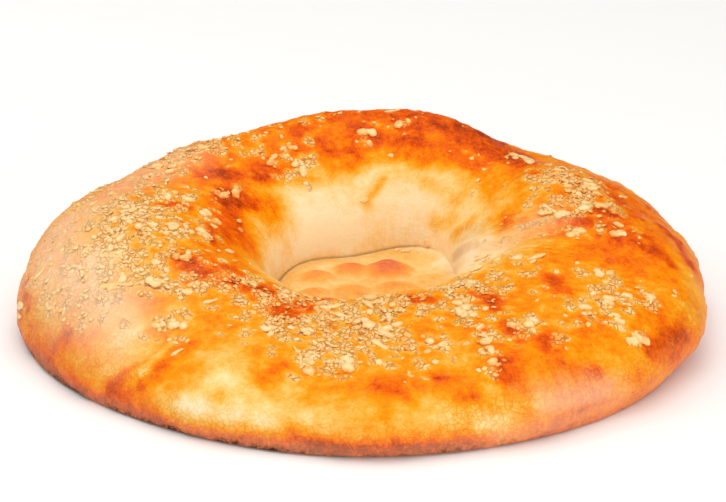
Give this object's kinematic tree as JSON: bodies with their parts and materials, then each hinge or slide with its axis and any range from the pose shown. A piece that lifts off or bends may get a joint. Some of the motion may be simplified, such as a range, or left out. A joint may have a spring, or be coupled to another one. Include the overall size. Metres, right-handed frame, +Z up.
{
  "type": "garlic tandoor flatbread",
  "caption": "Round tandoor-baked flatbread with a tall puffed rim, a steep hollow with a pin-stamped floor, a flat scorched base, and chopped garlic baked onto its buttered crust.",
  "frame": {"origin": "middle of the loaf's outline in plan, on the flat face of its base", "axes": "+Z up, away from the base; +Y towards the tallest part of the rim; -Y towards its lowest part, the side that the picture shows in front; +X to the right as seen from there"},
  "size_m": [0.2416, 0.242, 0.0529],
  "materials": {
    "baked_crust": "buttered, golden-brown baked crust with pale chopped garlic"
  },
  "bodies": {
    "root": {"flatbread": "baked_crust"}
  },
  "joints": []
}
